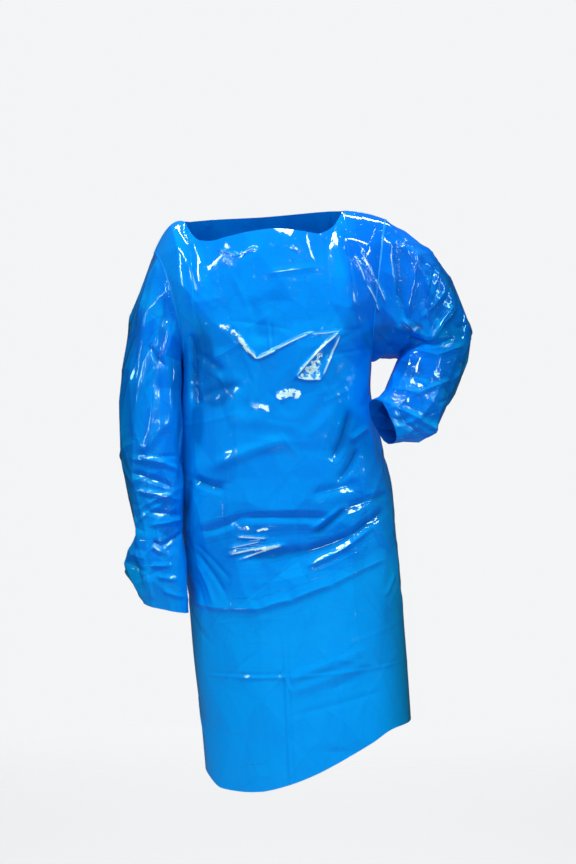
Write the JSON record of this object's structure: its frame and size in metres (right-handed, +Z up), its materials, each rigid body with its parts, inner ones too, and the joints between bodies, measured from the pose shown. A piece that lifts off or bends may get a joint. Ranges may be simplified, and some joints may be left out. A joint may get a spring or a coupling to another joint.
{
  "type": "isolation gown",
  "caption": "Hollow worn isolation gown of glossy blue film with an open back and waist ties, one sleeve hanging down and one bent with its cuff at the hip.",
  "frame": {"origin": "centre of the neck opening at shoulder height, where the wearer's shoulders hold the gown", "axes": "+Z up, -Y towards the front of the gown, +X towards the wearer's left"},
  "size_m": [0.6324, 0.2959, 1.0258],
  "materials": {
    "film": "glossy"
  },
  "bodies": {
    "root": {"front_panel": "film", "back_panel": "film", "right_sleeve": "film", "left_sleeve": "film", "right_tie": "film", "left_tie": "film", "right_tail": "film", "left_tail": "film", "tie_knot": "film"}
  },
  "joints": []
}
